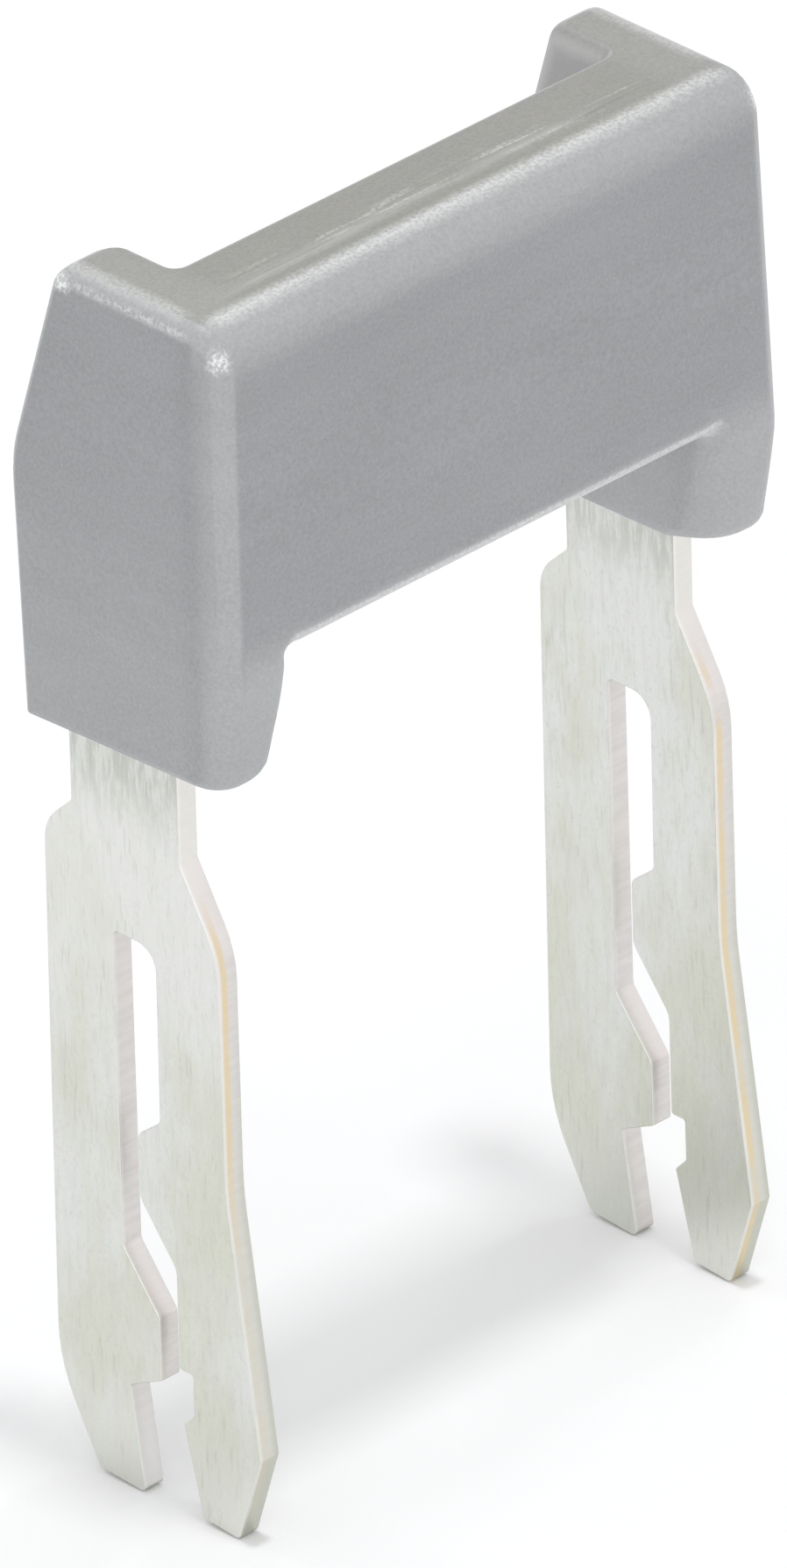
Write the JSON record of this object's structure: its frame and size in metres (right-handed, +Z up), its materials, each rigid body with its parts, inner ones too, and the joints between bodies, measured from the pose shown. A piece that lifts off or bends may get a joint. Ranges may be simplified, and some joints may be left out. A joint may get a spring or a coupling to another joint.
{
  "type": "terminal block jumper bar",
  "caption": "Plug-in jumper bar: an insulating housing moulded as a bar with end flanges, holding one sheet-metal bridge with forked contact blades.",
  "frame": {"origin": "midway between the two blades, level with the underside of the housing's feet and at mid width of the blades' necks", "axes": "+X along the row of blocks, -Y towards the plain front face, +Z up, away from the blades' tips"},
  "size_m": [0.0136, 0.0053, 0.024],
  "materials": {
    "housing": "matt grey moulded plastic with a fine grain",
    "contact": "bright tin plating with faint rolling lines"
  },
  "bodies": {
    "root": {"insulating_housing": "housing", "contact_bridge": "contact"}
  },
  "joints": []
}
